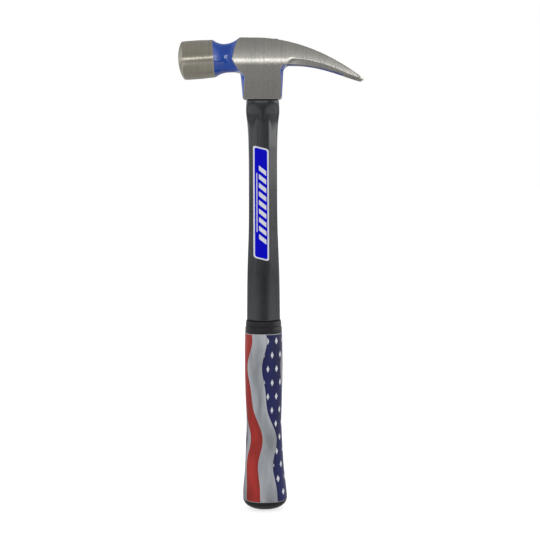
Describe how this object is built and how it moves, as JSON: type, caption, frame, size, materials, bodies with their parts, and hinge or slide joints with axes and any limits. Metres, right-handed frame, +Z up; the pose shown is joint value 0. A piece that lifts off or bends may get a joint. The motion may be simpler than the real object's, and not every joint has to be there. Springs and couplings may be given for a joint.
{
  "type": "framing hammer",
  "caption": "Straight-claw framing hammer: forged steel head with a crowned round face and a split claw, bonded to a fibreglass handle with a moulded jacket and a sleeved rubber grip.",
  "frame": {"origin": "on the handle's axis in the middle of the hand's hold, 80 mm above the butt's end", "axes": "+Z up the handle to the head, +X to the claw, -X to the striking face, -Y to the side that carries the label"},
  "size_m": [0.1495, 0.032, 0.3918],
  "materials": {
    "forged_steel": "ground and polished steel, with blue enamel on the neck and on the front and back of the eye skirt",
    "epoxy": "cast, slightly glossy",
    "fibreglass": "drawn glass fibre in resin",
    "jacket_plastic": "moulded, satin",
    "grip_rubber": "moulded, semi-gloss",
    "printed_film": "glossy print in red, silver and navy",
    "label_film": "blue sticker with a white border"
  },
  "bodies": {
    "root": {"head": "forged_steel", "eye_epoxy": "epoxy", "fibreglass_core": "fibreglass", "handle_jacket": "jacket_plastic", "grip": "grip_rubber", "grip_film": "printed_film", "handle_label": "label_film"}
  },
  "joints": []
}
